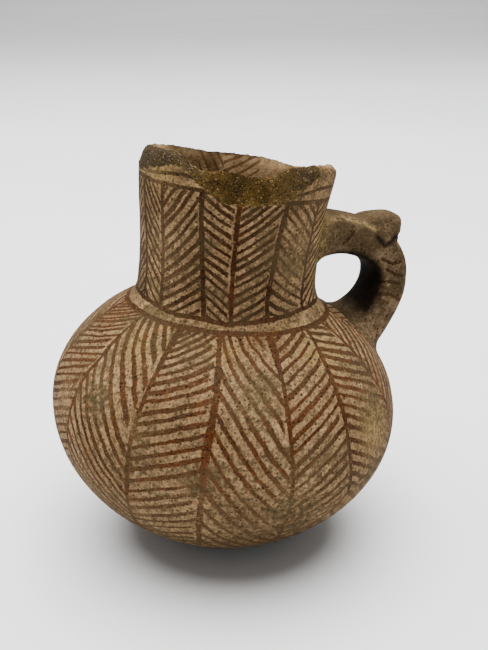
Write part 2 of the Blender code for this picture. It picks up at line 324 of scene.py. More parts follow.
def outer_profile():
    """(radius, height) of the whole outside, finely, from the base's pole to the lip."""
    low = (UNDERSIDE_SPREAD * BELLY_RADIUS, 0.0)
    side = (BELLY_RADIUS, BELLY_HEIGHT * (1.0 - UNDERSIDE_DROP))
    base = bezier([(0.0, 0.0), low, side, (BELLY_RADIUS, BELLY_HEIGHT)], BASE_POINTS)
    top_angle = math.acos((NECK_RADIUS + NECK_FILLET) / BELLY_RADIUS)
    angles = np.linspace(0.0, top_angle, 60)[1:, None]
    shoulder = np.hstack([BELLY_RADIUS * np.cos(angles), BELLY_HEIGHT + SHOULDER_RISE * np.sin(angles)])
    end = shoulder[-1]
    slope = SHOULDER_RISE / (BELLY_RADIUS * math.tan(top_angle))
    corner = (NECK_RADIUS, end[1] + slope * NECK_FILLET)
    above_corner = (NECK_RADIUS, 0.5 * (corner[1] + NECK_WAIST_HEIGHT))
    waist = (NECK_RADIUS, NECK_WAIST_HEIGHT)
    fillet = bezier([end, corner, above_corner, waist], 24)[1:]
    neck_top = (NECK_TOP_RADIUS, NECK_TOP_HEIGHT)
    middle = (NECK_RADIUS, NECK_WAIST_HEIGHT + 0.4 * (NECK_TOP_HEIGHT - NECK_WAIST_HEIGHT))
    neck = bezier([waist, middle, neck_top], 24)[1:]
    bend = (0.8 * NECK_TOP_RADIUS + 0.2 * LIP_RADIUS, 0.5 * (NECK_TOP_HEIGHT + LIP_HEIGHT))
    lip = bezier([neck_top, bend, (LIP_RADIUS, LIP_HEIGHT)], 16)[1:]
    return np.concatenate([base, shoulder, fillet, neck, lip])


def inner_profile(outer):
    """The inside of the wall, which thickens towards the floor."""
    run = directions(outer)
    share = np.clip(outer[:, 1] / BELLY_HEIGHT, 0.0, 1.0)
    thickness = FLOOR_WALL + (WALL - FLOOR_WALL) * share
    inner = outer + thickness[:, None] * np.stack([-run[:, 1], run[:, 0]], axis=1)
    inner[0, 0] = 0.0
    return inner


def even_rows(profile, top, rows, skip):
    """Evenly spaced rows of a profile from a little off its pole up to a height."""
    run = along(profile)
    half = len(profile) // 2
    end = float(np.interp(top, profile[half:, 1], run[half:]))
    places = np.linspace(skip, end, rows)
    return np.stack([np.interp(places, run, profile[:, 0]), np.interp(places, run, profile[:, 1])], axis=1)


def waves(places, seed, longest, shortest, amount):
    """A seeded wavy line round the pot, in metres, that closes on itself."""
    rng = np.random.default_rng(seed)
    out = np.zeros_like(places)
    for turns in range(int(360 / longest), int(360 / shortest)):
        out += rng.normal() * np.sin(np.radians(places) * turns + rng.uniform(0.0, 6.3)) / math.sqrt(turns)
    return amount * out / np.abs(out).max()


def lean(points):
    """Upright points as the jug stands, leaning towards its handle, before it is set down."""
    x, y, h = points[..., 0], points[..., 1], points[..., 2]
    x = x + table(CENTRE_SHIFTS, h)
    return np.stack([x * math.cos(LEAN) + h * math.sin(LEAN), y, h * math.cos(LEAN) - x * math.sin(LEAN)], axis=-1)


def turned(radius, azimuth, height):
    """Upright points at these radii, azimuths and heights."""
    a = np.radians(azimuth)
    return np.stack([radius * np.cos(a), radius * np.sin(a), height + 0.0 * a], axis=-1)


def mm_per_degree(radius):
    return radius * 1000.0 * math.pi / 180.0


def ring_units(azimuth, height, face_azimuth, face_height):
    """How far a corner is from the painted ring nearest its face, where 1 is the ring's edge."""
    best = np.full_like(height, NO_RING)
    nearest = np.full_like(height, 1e9)
    for line, width in RING_LINES:
        away = (height - around_pot(line, azimuth)) / (0.5 * width)
        off = np.abs(face_height - around_pot(line, face_azimuth))
        best = np.where(off < nearest, away, best)
        nearest = np.minimum(off, nearest)
    return best


def in_panels(stems, panels, first, azimuth, height, face_azimuth, face_height, radius, rise):
    """The herringbone's numbers at face corners: stroke phase, stroke half width as a share of the
    spacing, a number for the panel, and the distances from the stems left and right, where 1 is a
    stem's edge. A corner takes the panel that its face's middle is in."""
    left_at = np.stack([table(s, face_height) for s in stems] + [table(stems[0], face_height) + 360.0])
    turned_azimuth = np.where(face_azimuth > left_at[-1], -360.0, 0.0)
    panel = (left_at[:-1] <= face_azimuth + turned_azimuth).sum(axis=0) - 1
    out = np.zeros((5,) + azimuth.shape)
    for i, (slopes, gaps, width) in enumerate(panels):
        here = panel == i
        if not here.any():
            continue
        az = azimuth[here] + turned_azimuth[here][:, None]
        h, r = height[here], radius[here]
        left = table(stems[i], h)
        right = table(stems[i + 1], h) if i + 1 < len(stems) else table(stems[0], h) + 360.0
        degree = mm_per_degree(r)
        slope = np.radians(table(slopes, h))
        across = (az - 0.5 * (left + right)) * degree
        level = rise[here] - across * np.tan(slope)
        fine = np.linspace(rise[here].min() - 60.0, rise[here].max() + 60.0, 500)
        fine_height = np.interp(fine, RISE_TABLE[:, 0], RISE_TABLE[:, 1])
        fine_gap = table(gaps, 0.5 * (fine_height[1:] + fine_height[:-1]))
        count = np.concatenate([[0.0], np.cumsum(np.diff(fine) / fine_gap)])
        phase = np.interp(level, fine, count)
        gap = table(gaps, h)
        half = 0.5 * width / (gap * np.cos(slope))
        left_width, right_width = (table(STEM_WIDTHS.get(n, [(0, STEM_WIDTH)]), h) for n in (i + first, i + 1 + first))
        from_left = (az - left) * degree / (0.5 * left_width)
        from_right = (right - az) * degree / (0.5 * right_width)
        for row, values in zip(out, (phase, half, i + first, from_left, from_right)):
            row[here] = values
    return out


def blots(marks, azimuth, height, radius):
    """Soft stains added up: 1 or more in the middle of one, falling off to 0."""
    total = np.zeros_like(azimuth)
    for az, h, round_mm, up_mm, strength in marks:
        off = (azimuth - az + 180.0) % 360.0 - 180.0
        away = (off * mm_per_degree(radius) / round_mm) ** 2 + ((height - h) / up_mm) ** 2
        total += strength * np.exp(-away)
    return total


def add_numbers(mesh, name, *values):
    """Writes three numbers for each face corner."""
    made = mesh.attributes.new(name, "FLOAT_VECTOR", "CORNER")
    made.data.foreach_set("vector", np.stack(values, axis=1).astype(np.float32).ravel())


def add_object(name, data):
    made = bpy.data.objects.new(name, data)
    bpy.context.scene.collection.objects.link(made)
    return made


OUTER = outer_profile()
INNER = inner_profile(OUTER)
# The outside above the belly's widest place, where a height has one radius.
UPPER = OUTER[BASE_POINTS:]
# How far along the outside each height is, in mm.
RISE_TABLE = np.stack([1000.0 * along(OUTER), 1000.0 * OUTER[:, 1]], axis=1)


def pot_points():
    """Azimuths, and a (radius, height) section at each, whose rows are outside, break and inside."""
    azimuth = 360.0 * np.arange(SIDES) / SIDES - 180.0
    outer_drop = 0.001 * around_pot(OUTER_EDGE, azimuth) + waves(azimuth, 4, *EDGE_WAVES, EDGE_WOBBLE)
    inner_drop = 0.001 * around_pot(INNER_EDGE, azimuth) + waves(azimuth, 9, *EDGE_WAVES, 0.6 * EDGE_WOBBLE)
    columns = []
    for turn, low_drop, high_drop in zip(azimuth, outer_drop, inner_drop):
        outside = even_rows(OUTER, LIP_HEIGHT - max(low_drop, LEAST_DROP), OUTSIDE_ROWS, POLE_GAP)
        near_top = np.clip(1.0 - (outside[-1, 1] - outside[:, 1]) / TIP_ROUNDING, 0.0, 1.0)
        tip = float(around_pot(SLIPPED_RIM, turn)) / FULL_SLIP
        outside[:, 0] -= 0.5 * TIP_ROUNDING * tip * (1.0 - np.sqrt(1.0 - near_top**2))
        inside = even_rows(INNER, LIP_HEIGHT - max(high_drop, LEAST_DROP), INSIDE_ROWS, POLE_GAP)
        low, high = outside[-1], inside[-1]
        across, up = high - low
        full = float(around_pot(BREAK_ROUNDNESS, turn))
        rising = low + ((0.42 - 0.37 * full) * across, (0.30 + 0.40 * full) * up)
        crown = low + ((0.50 - 0.12 * full) * across, (1.05 + 0.05 * full) * up + BREAK_CROWN)
        broken = bezier([low, rising, crown, high], BREAK_ROWS + 2)[1:-1]
        columns.append(np.concatenate([outside, broken, inside[::-1]]))
    return azimuth, np.array(columns)


def pot():
    """The turned pot, leaning and set down on its flat, and how far it was shifted for that."""
    azimuth, section = pot_points()
    rows = section.shape[1]
    points = lean(turned(section[..., 0], azimuth[:, None], section[..., 1]))
    poles = lean(np.array([[0.0, 0.0, 0.0], [0.0, 0.0, INNER[0, 1]]]))
    low_corner, high_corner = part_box("jug")
    down = -FLAT_DEPTH - min(points[:, :OUTSIDE_ROWS, 2].min(), poles[0, 2])
    side = low_corner[0] - points[..., 0].min()
    shift = np.array([side, 0.0, down])
    points = points + shift
    poles = poles + shift
    points[:, :OUTSIDE_ROWS, 2] = np.maximum(points[:, :OUTSIDE_ROWS, 2], 0.0)
    points[..., 2] = np.minimum(points[..., 2], high_corner[2] - TOP_GAP)
    poles[0, 2] = 0.0
    verts = np.concatenate([points.reshape(-1, 3), poles])
    faces, corners = [], []
    for column in range(SIDES):
        there = (column + 1) % SIDES
        faces.append((SIDES * rows, there * rows, column * rows))
        corners.append([(column + 0.5, 0), (column + 1, 0), (column, 0)])
        for row in range(rows - 1):
            faces.append((column * rows + row, there * rows + row, there * rows + row + 1, column * rows + row + 1))
            corners.append([(column, row), (column + 1, row), (column + 1, row + 1), (column, row + 1)])
        faces.append((SIDES * rows + 1, column * rows + rows - 1, there * rows + rows - 1))
        corners.append([(column + 0.5, rows - 1), (column, rows - 1), (column + 1, rows - 1)])
    mesh = bpy.data.meshes.new("pot")
    mesh.from_pydata([tuple(v) for v in verts], [], faces)
    mesh.validate()
    paint_pot(mesh, azimuth, section, corners)
    mesh.shade_smooth()
    return add_object("pot", mesh), shift


def paint_pot(mesh, azimuth, section, corners):
    """Gives every face corner the numbers that the painted surface is made from."""
    sizes = np.array([len(c) for c in corners])
    flat = np.array([pair for c in corners for pair in c], float)
    turn = 360.0 * flat[:, 0] / SIDES - 180.0
    column = np.floor(flat[:, 0]).astype(int) % SIDES
    row = flat[:, 1].astype(int)
    height = section[column, row, 1] * 1000.0
    radius = section[column, row, 0]
    owner = np.repeat(np.arange(len(sizes)), sizes)
    face_turn = np.bincount(owner, turn) / sizes
    face_height = np.bincount(owner, height) / sizes
    face_row = np.bincount(owner, row) / sizes
    rise = np.interp(height, RISE_TABLE[:, 1], RISE_TABLE[:, 0])

    numbers = np.zeros((5, len(turn)))
    numbers[0] = 0.5
    numbers[3:] = NO_STEM
    outside = face_row < OUTSIDE_ROWS - 0.5
    on_body = outside & (face_height < BODY_TOP)
    head = around_pot(NECK_HEAD_LINE, face_turn)
    foot = around_pot(NECK_FOOT_LINE, face_turn)
    on_neck = outside & (face_height > foot) & (face_height < head)
    for chosen, stems, panels, first in (
        (on_body, BODY_STEMS, BODY_PANELS, 0), (on_neck, NECK_STEMS, NECK_PANELS, NECK_FIRST),
    ):
        at = chosen[owner]
        numbers[:, at] = in_panels(
            stems, panels, first, turn[at][:, None], height[at][:, None], face_turn[owner][at],
            face_height[owner][at], radius[at][:, None], rise[at][:, None],
        )[:, :, 0]
    rings = ring_units(turn, height, face_turn[owner], face_height[owner])
    rings = np.where(outside[owner], np.minimum(rings, NO_RING), NO_RING)
    around = face_turn[owner] - FAR_WALL_MIDDLE
    far_wall = (face_row > OUTSIDE_ROWS + BREAK_ROWS - 0.5)[owner]
    for value, (least, most) in ((face_height[owner], FAR_WALL_HEIGHTS), (around, FAR_WALL_SIDES)):
        far_wall &= (value > least) & (value < most)
    across = (turn - FAR_WALL_MIDDLE) * mm_per_degree(radius)
    steep = (height - 1.7 * across) / 7.0
    fanned = (height + 0.45 * across - 0.012 * across**2) / 4.2
    right_half = around > 0.0
    there = (np.where(right_half, steep, fanned), np.where(right_half, 0.17, 0.19), 50.0 + right_half)
    numbers[:3] = np.where(far_wall, there, numbers[:3])
    add_numbers(mesh, "strokes", *numbers[:3])
    add_numbers(mesh, "stems", numbers[3], numbers[4], rings)

    outer_top = section[column, OUTSIDE_ROWS - 1, 1] * 1000.0
    inner_top = section[column, OUTSIDE_ROWS + BREAK_ROWS, 1] * 1000.0
    on_break = (row >= OUTSIDE_ROWS - 1) & (row <= OUTSIDE_ROWS + BREAK_ROWS)
    into = np.minimum(row - (OUTSIDE_ROWS - 1), OUTSIDE_ROWS + BREAK_ROWS - row) * 0.6
    edge = np.where(on_break, -into, np.where(row < OUTSIDE_ROWS, outer_top - height, inner_top - height))
    edge = edge + around_pot(SLIPPED_RIM, turn) * on_break
    back = np.clip(1.0 - ((turn - BACK_MIDDLE) / BACK_REACH) ** 4, 0.0, 1.0)
    edge = np.where((row > OUTSIDE_ROWS + BREAK_ROWS) & (edge < 12.0), edge - BACK_BAND * back, edge)
    # A dark line along the back rim's break: painted shade over the break's own darker colour.
    dark_back = 0.8 * back * ((row >= OUTSIDE_ROWS + BREAK_ROWS - 6) & (row <= OUTSIDE_ROWS + BREAK_ROWS))
    inside = np.clip((row - (OUTSIDE_ROWS + 0.5 * BREAK_ROWS)) / 4.0, 0.0, 1.0)
    coarse = around_pot(COARSE_GRIT, turn)
    add_numbers(mesh, "marks", np.full_like(turn, NO_RING), coarse, dark_back)
    add_numbers(mesh, "place", edge, inside, height)
    stains = (blots(marks, turn, height, radius) for marks in (RED_PAINT, YELLOW_SLIP, GREEN_DIRT))
    add_numbers(mesh, "stains", *stains)
    worn = blots(WORN_PAINT, turn, height, radius) * outside[owner]
    add_numbers(mesh, "wear", worn, 0.0 * worn, 0.0 * worn)


def strap_path():
    """The handle's centre line in its own plane, as (distance from the axis, height)."""
    start, foot = np.interp((HANDLE_TOP_HEIGHT, HANDLE_FOOT_HEIGHT), UPPER[:, 1], UPPER[:, 0]) - 0.5 * WALL
    out = HANDLE_GAP + 0.5 * STRAP_THICKNESS
    drop = HANDLE_TOP_HEIGHT - HANDLE_FOOT_HEIGHT
    arm = (NECK_RADIUS + 0.90 * out, HANDLE_TOP_HEIGHT + 0.10 * drop)
    side = (NECK_RADIUS + 1.40 * out, HANDLE_TOP_HEIGHT - 0.40 * drop)
    line = bezier([(start, HANDLE_TOP_HEIGHT), arm, side, (foot, HANDLE_FOOT_HEIGHT)], 200)
    run = along(line)
    even = np.linspace(0.0, run[-1], PATH_POINTS)
    return np.stack([np.interp(even, run, line[:, 0]), np.interp(even, run, line[:, 1])], axis=1)


def clearance(points):
    """How far upright points are off the pot's outside, about square to it."""
    radius = np.hypot(points[..., 0], points[..., 1])
    there = np.interp(points[..., 2], UPPER[:, 1], UPPER[:, 0])
    steepness = np.interp(points[..., 2], UPPER[:, 1], np.abs(directions(UPPER)[:, 1]))
    return (radius - there) * np.maximum(steepness, 0.25)


def off_pot(points):
    """The direction square to the pot's outside at upright points near it."""
    run = directions(UPPER)
    out = np.interp(points[..., 2], UPPER[:, 1], run[:, 1])
    up = -np.interp(points[..., 2], UPPER[:, 1], run[:, 0])
    radius = np.hypot(points[..., 0], points[..., 1])
    return np.stack([out * points[..., 0] / radius, out * points[..., 1] / radius, up], axis=-1)


def off_line(flat, line):
    """How far points are from a line of points, in the same flat plane."""
    ends = np.array(line, float)
    best = np.full(len(flat), 1e9)
    for a, b in zip(ends, ends[1:]):
        share = np.clip(((flat - a) @ (b - a)) / ((b - a) @ (b - a)), 0.0, 1.0)
        best = np.minimum(best, np.linalg.norm(flat - a - share[:, None] * (b - a), axis=1))
    return best


# Marks on the handle's two flat sides, in mm: (distance from the pot's axis, height).
HANDLE_BARS = [
    [(72.8, 141.2), (78.5, 138.9), (83.5, 139.8)],
    [(76.2, 135.9), (80.3, 133.8), (85.5, 132.5)],
    [(73.8, 129.0), (77.5, 129.9), (83.5, 128.8)],
    [(71.9, 123.2), (78.4, 123.8), (84.5, 120.2)],
    [(73.6, 120.9), (77.5, 119.3)],
    [(51.2, 149.2), (53.9, 151.9), (55.9, 154.8)],
]
# The crease pressed into the handle's sides, which also gets painted shade, and the ridge along the top of its near
# side, which gets a painted highlight; lines in the same plane, in mm.
HANDLE_CREASE = [(69.2, 151.9), (73.5, 147.3), (76.5, 148.8), (82.5, 151.0), (88.0, 150.4)]
HANDLE_RIDGE = [(43.0, 160.5), (51.3, 160.5), (57.1, 159.6), (62.5, 158.1), (68.1, 155.2)]


def handle(shift):
    """The strap and its knob melted into one skin of clay, its ends spreading on to the pot."""
    path = strap_path()
    way = directions(path)
    run = along(path)
    turns = np.linspace(0.0, 2.0 * math.pi, STRAP_SIDES, endpoint=False)
    power = 2.0 / STRAP_SQUARENESS
    wide, deep = (np.sign(c) * np.abs(c) ** power for c in (np.cos(turns), np.sin(turns)))
    from_end = np.minimum(run, run[-1] - run)
    spread = 1.0 + (STRAP_FLARE - 1.0) * np.exp(-((from_end / FLARE_LENGTH) ** 2))
    across = 0.5 * STRAP_WIDTH * spread[:, None] * wide[None, :]
    depth = 0.5 * STRAP_THICKNESS * spread[:, None] * deep[None, :]
    rings = np.stack([path[:, :1] + depth * way[:, 1:], across, path[:, 1:] - depth * way[:, :1]], axis=-1)
    for end in (0, -1):
        proud = np.maximum(clearance(rings[end]) + 0.5 * WALL, 0.0)
        rings[end] = rings[end] - off_pot(rings[end]) * proud[:, None]
    stand = clearance(rings)
    off = np.clip(stand, 0.0, FILLET_REACH)
    fillet = FILLET_REACH - np.sqrt(FILLET_REACH**2 - (FILLET_REACH - off) ** 2)
    outward = np.stack([deep * way[:, 1:], wide + 0.0 * way[:, 1:], -deep * way[:, :1]], axis=-1)
    outward = outward / np.linalg.norm(outward, axis=-1)[..., None]
    near_end = (run[:, None] < FILLET_LENGTHS[0]) | (run[:, None] > run[-1] - FILLET_LENGTHS[1])
    rings = rings + outward * (fillet * near_end)[..., None]
    lifted = np.where(near_end, clearance(rings) - stand, 0.0)
    rings = rings - off_pot(rings) * lifted[..., None]

    bm = bmesh.new()
    made = [[bm.verts.new(p) for p in ring] for ring in rings]
    for here, there in zip(made, made[1:]):
        for side in range(STRAP_SIDES):
            after = (side + 1) % STRAP_SIDES
            bm.faces.new((here[side], there[side], there[after], here[after]))
    bm.faces.new(made[0])
    bm.faces.new(made[-1])
    middle = Vector((
        path[:, 0].max() + KNOB_REACH - 0.5 * KNOB_LENGTH, 0.0,
        path[:, 1].max() + 0.5 * STRAP_THICKNESS + KNOB_RISE - 0.5 * KNOB_HEIGHT,
    ))
    knob = bmesh.ops.create_uvsphere(bm, u_segments=48, v_segments=24, radius=1.0)["verts"]
    for vert in knob:
        size = sum(abs(c) ** KNOB_SQUARENESS for c in vert.co) ** (1.0 / KNOB_SQUARENESS)
        x, y, z = vert.co / size
        z += (0.15 * x - 0.03) * (z > 0.0) - 0.12 * max(x, 0.0) * (z <= 0.0)
        vert.co = middle + 0.5 * Vector((KNOB_LENGTH * x, KNOB_WIDTH * y, KNOB_HEIGHT * z))
    bmesh.ops.recalc_face_normals(bm, faces=bm.faces)
    rough = bpy.data.meshes.new("strap_and_knob")
    bm.to_mesh(rough)
    bm.free()
    lump = add_object("strap_and_knob", rough)
    melt = lump.modifiers.new("melt", "REMESH")
    melt.mode = "VOXEL"
    melt.voxel_size = MELT_SIZE
    soften = lump.modifiers.new("soften", "SMOOTH")
    soften.factor = 0.5
    soften.iterations = 4
    mesh = plain_mesh(lump, "handle")
    upright, facing = np.empty((2, len(mesh.vertices), 3))
    mesh.vertices.foreach_get("co", upright.reshape(-1))
    mesh.vertex_normals.foreach_get("vector", facing.reshape(-1))
    creased = off_line(1000.0 * upright[:, [0, 2]], HANDLE_CREASE)
    sides = np.clip((np.abs(upright[:, 1]) - 0.003) / 0.004, 0.0, 1.0)
    upright = upright - facing * (CREASE_DEPTH * sides * np.exp(-((creased / 1.3) ** 2)))[:, None]
    mesh.vertices.foreach_set("co", (lean(upright) + shift).ravel())
    paint_handle(mesh, upright, path, way)
    mesh.shade_smooth()
    return add_object("handle", mesh)


def plain_mesh(made, name):
    """The object as its modifiers leave it, as a mesh of its own; the object goes."""
    graph = bpy.context.evaluated_depsgraph_get()
    mesh = bpy.data.meshes.new_from_object(made.evaluated_get(graph))
    mesh.name = name
    bpy.data.objects.remove(made)
    return mesh


def paint_handle(mesh, upright, path, way):
    """Gives the handle the same numbers as the pot, so that one clay paints both."""
    loops = np.empty(len(mesh.loops), int)
    mesh.loops.foreach_get("vertex_index", loops)
    flat = upright[:, [0, 2]]
    gaps = np.linalg.norm(flat[:, None, :] - path[None, ::2, :], axis=2)
    near = 2 * gaps.argmin(axis=1)
    step = flat - path[near]
    outer_side = step[:, 0] * way[near, 1] - step[:, 1] * way[near, 0]
    off = clearance(upright) * 1000.0
    side_on = np.abs(upright[:, 1]) > 0.005
    none = np.zeros_like(off)
    smear = np.exp(-((off / 4.0) ** 2)) * (upright[:, 2] > 0.135)
    # Darker and greener close to the pot, where the handle's ends join it.
    shade_and_joint_darkening = 0.6 * np.exp(-((off / 6.0) ** 2))
    # Soot with painted shade on the strap's inner face, which faces the neck, weaker close to the pot.
    soot_and_shade = np.clip((outer_side - 0.0045) / 0.004, 0.0, 1.0)
    soot_and_shade = np.clip(1.3 * soot_and_shade, 0.0, 1.0) * np.clip(off / 6.0 - 0.4, 0.1, 1.0)
    bar = np.min([off_line(flat * 1000.0, line) for line in HANDLE_BARS], axis=0)
    bar = np.where(side_on, bar, NO_RING)
    # Painted shade in the pressed crease on the handle's flat sides.
    creased = np.exp(-((off_line(flat * 1000.0, HANDLE_CREASE) / 1.1) ** 2)) * side_on
    # A painted highlight along the ridge on the handle's near side.
    ridge_highlight = 0.5 * np.exp(-((off_line(flat * 1000.0, HANDLE_RIDGE) / 0.9) ** 2)) * (upright[:, 1] < 0.0)
    for name, values in (
        ("strokes", (none + 0.5, none, none + 60.0)),
        ("stems", (none + NO_STEM, none + NO_STEM, none + NO_RING)),
        ("place", (none + NO_RING, none - 1.0, upright[:, 2] * 1000.0)),
        ("stains", (none, smear, shade_and_joint_darkening)),
        ("marks", (bar, ridge_highlight - creased, soot_and_shade)),
        ("wear", (none, none, none)),
    ):
        add_numbers(mesh, name, *(v[loops] for v in values))


class Value:
    """A number, place or colour in a node tree, which takes plain signs."""

    def __init__(self, tree, socket):
        self.tree = tree
        self.socket = socket

    def __add__(self, other):
        return self.tree.math("ADD", self, other)

    def __radd__(self, other):
        return self.tree.math("ADD", other, self)

    def __sub__(self, other):
        return self.tree.math("SUBTRACT", self, other)

    def __rsub__(self, other):
        return self.tree.math("SUBTRACT", other, self)

    def __mul__(self, other):
        return self.tree.math("MULTIPLY", self, other)

    def __abs__(self):
        return self.tree.math("ABSOLUTE", self)


class Tree:
    """Short names for building a node tree."""

    def __init__(self, tree):
        self.tree = tree

    def node(self, kind, inputs=None, **settings):
        made = self.tree.nodes.new(kind)
        for name, value in settings.items():
            setattr(made, name, value)
        for name, value in (inputs or {}).items():
            self.put(made.inputs[name], value)
        return made

    def put(self, socket, value):
        """Links a value, a node's first output or a socket to a socket, or sets it to a constant."""
        if isinstance(value, Value):
            value = value.socket
        if isinstance(value, bpy.types.Node):
            value = value.outputs[0]
        if isinstance(value, bpy.types.NodeSocket):
            self.tree.links.new(value, socket)
        else:
            socket.default_value = value

    def math(self, operation, *values):
        made = self.node("ShaderNodeMath", operation=operation)
        for socket, value in zip(made.inputs, values):
            self.put(socket, value)
        return Value(self, made.outputs[0])

    def clamped(self, value):
        """The same sum, kept from 0 to 1."""
        value.socket.node.use_clamp = True
        return value

    def ramp(self, value, low, high, to_low=0.0, to_high=1.0):
        """Smoothly from to_low at low to to_high at high."""
        given = {"Value": value, "From Min": low, "From Max": high, "To Min": to_low, "To Max": to_high}
        return Value(self, self.node("ShaderNodeMapRange", given, interpolation_type="SMOOTHSTEP").outputs["Result"])

    def noise(self, where, scale, detail=3.0, roughness=0.55):
        given = {"Vector": where, "Scale": scale, "Detail": detail, "Roughness": roughness}
        return Value(self, self.node("ShaderNodeTexNoise", given).outputs[0])

    def cells(self, where, scale):
        return self.node("ShaderNodeTexVoronoi", {"Vector": where, "Scale": scale})

    def mix(self, share, first, second, blend_type="MIX"):
        made = self.node("ShaderNodeMix", data_type="RGBA", blend_type=blend_type, clamp_factor=True)
        for number, value in ((0, share), (6, first), (7, second)):
            self.put(made.inputs[number], colour(value) if isinstance(value, tuple) else value)
        return Value(self, made.outputs[2])

    def layers(self, base, *coats):
        """A colour under coats of others: (share, colour)."""
        for share, coat in coats:
            base = self.mix(share, base, coat)
        return base

    def split(self, value):
        made = self.node("ShaderNodeSeparateXYZ", {"Vector": value})
        return [Value(self, output) for output in made.outputs]

    def numbers(self, name):
        """The three numbers of a mesh attribute, in a material."""
        return self.split(self.node("ShaderNodeAttribute", attribute_name=name).outputs["Vector"])

    def mesh_numbers(self, name):
        """The three numbers of a mesh attribute, in a geometry tree."""
        kind = "GeometryNodeInputNamedAttribute"
        return self.split(self.node(kind, {"Name": name}, data_type="FLOAT_VECTOR"))


def colour(rgb):
    """A colour given as 0 to 255 on a screen, as the linear one that shaders take."""
    out = []
    for c in rgb:
        c = c / 255.0
        out.append(c / 12.92 if c <= 0.04045 else ((c + 0.055) / 1.055) ** 2.4)
    return (*out, 1.0)


def new_material(name):
    """A new material with its shader, its tree and the Object coordinates in it."""
    material = bpy.data.materials.new(name)
    material.use_nodes = True
    t = Tree(material.node_tree)
    return material, material.node_tree.nodes["Principled BSDF"], t, t.node("ShaderNodeTexCoord").outputs["Object"]


